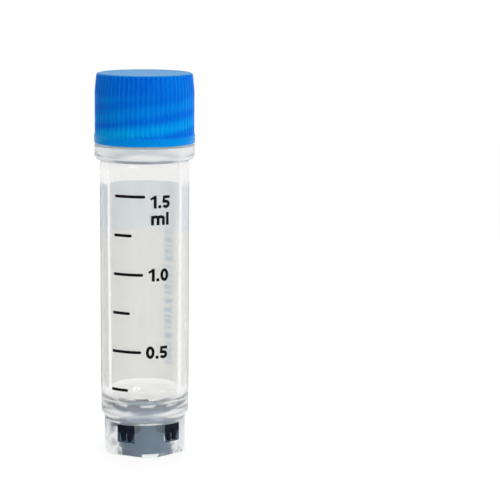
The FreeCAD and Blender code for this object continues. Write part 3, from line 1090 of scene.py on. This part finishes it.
@dataclass
class CodeInsert:
    """Black cup in the foot with five forked locking tabs."""

    at: Frame
    toes: int = 5
    toe_turn: float = 7.5
    r: float = 3.28
    low: float = 0.04
    wall: float = 1.25
    face: float = 1.0
    edge: float = 0.08
    field: float = 2.0  # half the side of the sunk field
    field_side: float = 0.02  # lean of the field's sides
    field_last: int = 5  # number of the profile's last row on the field
    around: float = 1.52  # from the field's half side to the round face about it
    sunk: float = 0.08
    lip_height: float = 0.75
    lip_step: float = 0.06
    lip_slope: float = 0.03
    tab_width: float = 2.30
    tab_height: float = 1.05
    r_tab: float = 4.95
    leg_width: float = 0.80
    leg_tip: float = 0.50
    leg_split: float = 0.30
    leg_lean: float = 0.03
    leg_height: float = 1.10
    leg_thick: float = 0.42
    soft: float = 0.07  # rounding of the tabs' edges
    pressed: float = 0.006  # how far its top is pressed into the tube's bottom
    overlap: float = 0.3  # how far a leg reaches up into its tab's bar
    ball: tuple = (14, 24)  # rings and columns of the rounded blocks

    def cup_rows(self) -> Grid:
        """Profile of the cup from the middle of its field, out, up and back in to its floor."""
        r, e, top, low = self.r, self.edge, self.at.under + self.pressed, self.low
        z_lip, z_in, r_in, f = top - self.lip_height, low + self.face, r - self.wall, self.field
        z_sunk, r_lip, slope = low + self.sunk, r - self.lip_step, self.lip_slope
        return profile(
            (INNERMOST, z_sunk), ((f - self.field_side, z_sunk), self.field_last - 1),
            ((f, low), 1), ((f * self.around, low), 1), ((r - e, low), 1),
            bend((r - e, low + e), e, -90, 0, 5), ((r, z_lip - slope), 4),
            ((r_lip, z_lip + slope), 2), ((r_lip, top), 2), ((r_in, top), 2), ((r_in, z_in), 3),
            ((INNERMOST, z_in), 3))

    def cup(self, piece: Piece, columns: int = 160) -> None:
        """Adds the cup; the rows of its field are drawn out from circles of r to squares.

        A point at an angle a goes to r / max(|cos a|, |sin a|).
        """
        rows = self.cup_rows()
        degrees = np.repeat(np.arange(columns)[None, :] * 360 / columns, len(rows), 0)
        a = np.radians(degrees + AHEAD)
        square = 1 / np.maximum(np.abs(np.cos(a)), np.abs(np.sin(a)))
        on_field = np.arange(len(rows))[:, None] <= self.field_last
        r = rows[:, :1] * np.where(on_field, square, 1.0)
        piece.add(*closed(revolve(r, rows[:, 1:], degrees), axis_tips(rows)))

    def bar(self, x: tuple, y: tuple, z: tuple) -> tuple[Grid, Grid, Grid, Grid]:
        """Soft-edged block: a rounded solid whose surface is a sphere drawn out to a box.

        A point p of the unit sphere moves to sign(p) (half - soft) + soft p in each direction.

        Args:
            x: its two ends outwards.
            y: its two ends sideways.
            z: its two ends upwards.

        Returns:
            Points, cells and the cells at both poles.
        """
        rows, columns = self.ball
        low, high = np.array([x, y, z]).T
        middle, half = (low + high) / 2, (high - low) / 2
        up = np.radians(np.linspace(-90, 90, rows + 1)[1:-1])[:, None]
        out = np.radians((np.arange(columns) + 0.5) * 360 / columns)[None, :]
        ball = np.stack([np.cos(up) * np.cos(out), np.cos(up) * np.sin(out),
                         np.sin(up) * np.ones_like(out)], -1)
        box = np.sign(np.round(ball, 9)) * (half - self.soft) + self.soft * ball
        return closed(box + middle, [middle - (0, 0, half[2]), middle + (0, 0, half[2])])

    def leg(self, side: int) -> tuple[Grid, Grid, Grid, Grid]:
        """Tapering leg with a rounded end, beside the tab's middle on one side.

        Its outline, seen from outside, is a closed loop; rings of that loop, drawn in by the
        rounding at both faces, make its surface.

        Args:
            side: -1 or 1, the side of the tab's middle that it lies on.

        Returns:
            Points, cells and the cells that close both faces.
        """
        tip, z_bar = self.leg_tip / 2, self.at.under - self.tab_height
        y_in, z_low, z_top = self.leg_split / 2, z_bar - self.leg_height, z_bar + self.overlap
        y_tip, y_out = y_in + self.leg_lean + tip, y_in + self.leg_width
        end = bend((y_tip, z_low + tip), tip, 0, -180, 14)
        loop = np.concatenate([line((y_in, z_top), (y_out, z_top), 6)[:-1],
                               line((y_out, z_top), tuple(end[0]), 6)[:-1], end,
                               line(tuple(end[-1]), (y_in, z_top), 6)[1:-1]])
        middle = np.array([(y_in + y_tip + tip) / 2, (z_top + z_low) / 2])
        reach = np.linalg.norm(loop - middle, axis=1, keepdims=True)
        inner, outer, soft = self.r_tab - self.leg_thick, self.r_tab, self.soft
        rings = []
        for x, drawn in ((inner, 1.0), (inner + soft, 0.0), (outer - soft, 0.0),
                         (outer - soft * 0.3, 0.3), (outer, 1.0)):
            flat = middle + (loop - middle) * (1 - drawn * soft / reach)
            rings.append(np.column_stack([np.full(len(flat), x), flat[:, 0] * side, flat[:, 1]]))
        return closed(np.stack(rings), [[x, middle[0] * side, middle[1]] for x in (inner, outer)])

    def tab(self) -> list[tuple[Grid, Grid, Grid, Grid]]:
        """Shells of one tab that reaches out along +X: its bar and two legs."""
        arm_in, top = self.r - self.wall / 2, self.at.under
        half = self.tab_width / 2
        bar = self.bar((arm_in, self.r_tab), (-half, half),
                       (top - self.tab_height, top + self.pressed))
        return [bar, self.leg(-1), self.leg(1)]

    def build(self, material: Any) -> Any:
        """Makes the cup and its tabs as one piece."""
        piece = Piece("foot_insert", "vial", "black_pp", material, sharp=40.0)
        self.cup(piece)
        for toe in range(self.toes):
            a = math.radians(self.toe_turn + (toe + 0.5) * 360 / self.toes + AHEAD)
            cos, sin = math.cos(a), math.sin(a)
            spin = np.array([[cos, -sin, 0], [sin, cos, 0], [0, 0, 1]])
            for points, *cells in self.tab():
                reach = np.hypot(points[:, 0], points[:, 1])
                points[:, :2] *= np.minimum(1, self.r_tab / reach)[:, None]
                piece.add(points @ spin.T, *cells)
        return piece.make("code_insert")


# ---- print ----

class Mark(Enum):
    """Length of a graduation line, as degrees round the barrel."""

    LONG = 41.8
    SHORT = 25.6


@dataclass(frozen=True)
class Pen:
    """Draws plain bold characters as strokes of one width, in millimetres."""

    high: float = 1.58
    wide: float = 1.10
    width: float = 0.38

    def stroke(self, path: Grid, width: float | None = None) -> Grid:
        """Strip along a path: path point + offset times the path's normal, across its width.

        Args:
            path: (n, 2) points.
            width: width of the stroke, if not the pen's own.

        Returns:
            An (n, 3, 2) grid.
        """
        along = np.gradient(path, axis=0)
        along /= np.linalg.norm(along, axis=1, keepdims=True)
        normal = np.stack([-along[:, 1], along[:, 0]], 1)
        off = np.linspace(-0.5, 0.5, 3)[None, :, None] * (width or self.width)
        return path[:, None, :] + normal[:, None, :] * off

    def bar(self, start: tuple, end: tuple, width: float | None = None) -> Grid:
        """Straight stroke."""
        return self.stroke(line(start, end, 6), width)

    def oval(self, centre: tuple, radii: tuple, first: float, last: float) -> Grid:
        """Stroke round an ellipse from one angle to another, in degrees."""
        a = np.radians(np.linspace(first, last, 40))
        round_it = np.stack([radii[0] * np.cos(a), radii[1] * np.sin(a)], 1)
        return self.stroke(np.array(centre) + round_it)

    def character(self, sign: str) -> tuple[list[Grid], float]:
        """Strokes of a character from its lower left corner, and its width.

        Shares of the pen's height, width and stroke shape each of them.

        Args:
            sign: one of 0, 1, 5, full stop, m and l.

        Returns:
            The strokes and how far the next character starts.
        """
        h, w, t = self.high, self.wide, self.width
        if sign == "0":
            return [self.oval((w / 2, h / 2), (w / 2 - t / 2, h / 2 - t / 2), 0, 360)], w
        if sign == "1":
            stem = w * 0.62
            flag = self.bar((w * 0.10, h * 0.70), (stem, h * 0.90), t * 0.75)
            return [self.bar((stem, 0), (stem, h)), flag], w * 0.86
        if sign == "5":
            low = h * 0.325
            bowl = self.oval((w * 0.46, low), (w / 2 - t / 2, low - t / 2), 128, -152)
            back = self.bar((w * 0.17, h * 0.42), (w * 0.25, h - t * 0.1), t * 0.85)
            top = self.bar((w * 0.18, h - t / 2), (w * 0.95, h - t / 2), t * 0.95)
            return [bowl, back, top], w
        if sign == ".":
            return [self.bar((t * 0.62, 0), (t * 0.62, t), t)], t * 1.24
        if sign == "l":
            return [self.bar((t * 0.7, 0), (t * 0.7, h))], t * 1.3
        step, top = t * 1.85, h * 0.74
        strokes = [self.bar((t / 2, 0), (t / 2, top))]
        for k in (1, 2):
            stem = t / 2 + k * step
            strokes.append(self.bar((stem, 0), (stem, top - t * 0.8)))
        for k in (0, 1):
            arch = (t / 2 + (k + 0.5) * step, top - t * 0.85)
            strokes.append(self.oval(arch, (step / 2, t * 0.5), 172, 0))
        return strokes, t + 2 * step

    def word(self, text: str, gap: float = 0.08) -> tuple[list[Grid], float]:
        """Strokes of a word from its lower left corner, and its width."""
        strokes, x = [], 0.0
        for sign in text:
            drawn, step = self.character(sign)
            strokes += [s + np.array([x, 0.0]) for s in drawn]
            x += step + gap
        return strokes, x - gap


@dataclass
class Print:
    """Ink on the barrel: volume scale in front, writing panel and bar strip behind."""

    tube: ClearTube
    gap: float = 0.002
    coat: float = 0.010
    marks: int = 6
    first_mark: float = 8.60
    mark_step: float = 4.842
    mark_thick: float = 0.36
    mark_left: float = -48.1  # left end of the lowest mark
    skew: float = 0.275  # degrees to the right for each millimetre up
    mark_shift: float = 0.3
    mark_steps: int = 40  # points along a mark
    mark_blunt: float = 0.75  # how far a mark narrows at its ends
    label_left: float = 0.0
    label_skew: float = 0.268
    top_drop: float = 1.42  # how far the uppermost number's foot lies under its mark
    unit_drop: float = 3.50  # the same of the unit
    unit_shift: float = 2.2  # degrees
    panel: tuple = (79.0, 281.0, 8.1, 33.75)
    strip: tuple = (126.0, 146.0, 10.3, 27.2)
    bar: float = 0.30  # thinnest bar and gap of the strip

    def wrap(self, piece: Piece, flat: Grid, coats: int = 0) -> None:
        """Lays a flat grid on the barrel as a thin coat.

        Args:
            piece: what it is added to.
            flat: (n, m, 2) of degrees from straight ahead and heights.
            coats: how many coats lie under it.
        """
        r = self.tube.barrel_radius(flat[..., 1]) + self.gap + coats * (self.coat + self.gap)
        under = revolve(r, flat[..., 1], flat[..., 0])
        over = revolve(r + self.coat, flat[..., 1], flat[..., 0])
        piece.add(*slab(over, under))

    def scale(self, ink: Any) -> Any:
        """Graduation lines, every second one long, with rounded ends."""
        piece = Piece("scale_marks", "vial", "black_pp", ink, sharp=40.0)
        for k in range(self.marks):
            z = self.first_mark + k * self.mark_step
            left = self.mark_left + self.skew * (z - self.first_mark) + self.mark_shift
            kind = Mark.LONG if k % 2 else Mark.SHORT
            a = np.linspace(0, 1, self.mark_steps)
            end = self.mark_thick / 2 / math.radians(1) / self.tube.r_barrel
            near = np.clip(np.minimum(a, 1 - a) * kind.value / end, 0, 1)
            half = self.mark_thick / 2 * np.sqrt(1 - self.mark_blunt * (1 - near) ** 2)
            heights = z + half[:, None] * np.linspace(-1, 1, 3)[None, :]
            degrees = np.repeat((left + kind.value * a)[:, None], 3, 1)
            self.wrap(piece, np.stack([degrees, heights], -1))
        return piece.make()

    def labels(self, ink: Any) -> Any:
        """Volumes beside the long lines, and the unit under the uppermost."""
        piece = Piece("scale_numbers", "vial", "black_pp", ink, sharp=40.0)
        pen = Pen()
        long_marks = [self.first_mark + k * self.mark_step for k in range(1, self.marks, 2)]
        half, top = pen.high / 2, long_marks[-1]
        words = [("0.5", long_marks[0] - half, 0.0), ("1.0", long_marks[1] - half, 0.0),
                 ("1.5", top - self.top_drop, 0.0), ("ml", top - self.unit_drop, self.unit_shift)]
        for text, z, shift in words:
            left = self.label_left + self.label_skew * (z + half - self.first_mark) + shift
            for stroke in pen.word(text)[0]:
                degrees = left + np.degrees(stroke[..., 0] / self.tube.r_barrel)
                self.wrap(piece, np.stack([degrees, z + stroke[..., 1]], -1))
        return piece.make()

    def patch(self, piece: Piece, box: tuple, coats: int, steps: tuple) -> None:
        """Adds a patch between two angles and two heights."""
        degrees = np.linspace(box[0], box[1], steps[0] + 1)[:, None]
        z = np.linspace(box[2], box[3], steps[1] + 1)[None, :]
        self.wrap(piece, np.stack(np.broadcast_arrays(degrees, z), -1), coats)

    def writing_panel(self, ink: Any) -> Any:
        """White panel round the back of the barrel."""
        piece = Piece("writing_panel", "vial", "clear_pp", ink, sharp=60.0)
        self.patch(piece, self.panel, 0, (100, 12))
        return piece.make()

    def bar_strip(self, ink: Any) -> Any:
        """Level bars of uneven thickness up the panel, after a plain arithmetic rule."""
        piece = Piece("bar_strip", "vial", "black_pp", ink, sharp=60.0)
        z, k = self.strip[2], 0
        while z < self.strip[3]:
            thick = self.bar * (1 + (k * k * 3 + k * 5) % 7 % 2)
            gap = self.bar * (1 + (k * k + k * 3) % 5 % 2)
            self.patch(piece, (self.strip[0], self.strip[1], z, z + thick), 1, (6, 1))
            z, k = z + thick + gap, k + 1
        return piece.make()


# ---- stage ----

WHITE = (1.0, 1.0, 1.0)


@dataclass(frozen=True)
class Studio:
    """Camera, soft lamps, white world and pale floor."""

    place: tuple = (0.0, -0.27643, 0.06801)
    yaw: float = 2.7285  # to the right
    pitch: float = 8.7489  # downwards
    roll: float = 0.3696
    lens: float = 160.9
    film: float = 36.0
    clip: tuple = (0.01, 20.0)
    world_lit: float = 0.24  # how strongly the world lights, against how it is seen
    floor_half: float = 4.0
    floor_glow: float = 0.85  # share of the floor's own white near the vial
    floor_tone: tuple = (0.90, 0.90, 0.90)
    floor_far: tuple = (40.0, 400.0)  # mm, between which the floor turns white
    aim: tuple = (0.0, 0.0, 0.025)
    # Name, place, size and watts of each lamp.
    lamps: tuple = (("top", (0.0, 0.05, 0.60), 0.60, 3.2),
                    ("key", (0.28, -0.41, 0.24), 0.30, 1.75),
                    ("back", (0.04, 0.32, 0.42), 0.25, 0.85))

    def camera(self) -> None:
        """Sets the camera from its place and three turns."""
        data = bpy.data.cameras.new("view")
        data.lens, data.sensor_width = self.lens, self.film
        data.clip_start, data.clip_end = self.clip
        camera = in_scene("view", data)
        aim = (Matrix.Rotation(math.radians(-self.yaw), 4, "Z")
               @ Matrix.Rotation(math.radians(90 - self.pitch), 4, "X")
               @ Matrix.Rotation(math.radians(self.roll), 4, "Z"))
        camera.matrix_world = Matrix.Translation(Vector(self.place)) @ aim
        bpy.context.scene.camera = camera

    @staticmethod
    def seen_share(s: Shader) -> Value:
        """1 for rays from the camera, a mirror or clear plastic, else 0."""
        path = s.node("ShaderNodeLightPath", output="Is Camera Ray")
        outputs = path.socket.node.outputs
        glossy, passed = (Value(s, outputs[n]) for n in ("Is Glossy Ray", "Is Transmission Ray"))
        return path.math("MAXIMUM", glossy).math("MAXIMUM", passed)

    def world(self) -> None:
        """White world where it is seen, softer where it lights."""
        world = bpy.data.worlds.new("studio")
        bpy.context.scene.world = world
        s = Shader("studio", world)
        strength = self.seen_share(s) * (1.0 - self.world_lit) + self.world_lit
        back = s.node("ShaderNodeBackground", sockets={"Color": WHITE, "Strength": strength})
        s.node("ShaderNodeOutputWorld", sockets={"Surface": back})

    def floor(self) -> None:
        """Pale floor that keeps a soft shadow near the vial and goes to white further off."""
        s = Shader("floor")
        pale = s.coloured("ShaderNodeBsdfDiffuse", self.floor_tone)
        white = s.node("ShaderNodeEmission", sockets={"Color": WHITE, "Strength": 1.0})
        far = s.reach().smooth(*self.floor_far)
        share = self.seen_share(s) * (far * (1.0 - self.floor_glow) + self.floor_glow)
        mesh = bpy.data.meshes.new("floor")
        h = self.floor_half
        mesh.from_pydata([(-h, -h, 0), (h, -h, 0), (h, h, 0), (-h, h, 0)], [], [(0, 1, 2, 3)])
        mesh.materials.append(s.finish(s.blend(share, pale, white)))
        in_scene("floor", mesh)

    def lamp(self, name: str, place: tuple, size: float, watts: float) -> None:
        """Square soft lamp that points at the vial."""
        data = bpy.data.lights.new(name, "AREA")
        data.size, data.energy = size, watts
        made = in_scene(name, data)
        made.location = place
        aim = Vector(self.aim) - Vector(place)
        made.rotation_euler = aim.to_track_quat("-Z", "Y").to_euler()

    def build(self) -> None:
        """Sets the whole stage."""
        self.camera()
        self.world()
        self.floor()
        for lamp in self.lamps:
            self.lamp(*lamp)
        bpy.context.scene.view_settings.view_transform = "Standard"


def main() -> None:
    """Builds the vial, piece by piece, and its stage."""
    logging.basicConfig(level=logging.INFO, format="%(name)s: %(message)s")
    at, thread = Frame.read(), ScrewThread()
    Studio().build()
    tube, cap, insert = ClearTube(at, thread), ScrewCap(at, thread), CodeInsert(at)
    tube.build(ClearPlastic(at.under, tube.z_bottom, tube.collar - tube.collar_height,
                            tube.collar, tube.r_bore, insert.r).material())
    cap.build(BluePlastic(thread, tube.collar, at.rim, cap.z_band, at.top, cap.ribs).material())
    SealRing(at).build(Silicone().material())
    insert.build(BlackPlastic(insert.r).material())
    ink = Print(tube)
    black = Ink("black_ink", (0.002, 0.002, 0.003), (0.006, 0.006, 0.007)).material()
    # the white panel's top carries a painted bluish reflection of the cap
    white = Ink("white_ink", (0.90, 0.90, 0.89), (0.88, 0.88, 0.87), let_through=0.82,
                roughness=0.55, cap_reflection=(0.835, 0.865, 0.89), z_cap_reflection=27.7).material()
    pale = Ink("pale_ink", (0.10, 0.20, 0.48), (0.14, 0.25, 0.52), open_share=0.92,
               open_tint=(0.85, 0.93, 1.0)).material()
    ink.scale(black)
    ink.labels(black)
    ink.writing_panel(white)
    ink.bar_strip(pale)


if __name__ == "__main__":
    main()
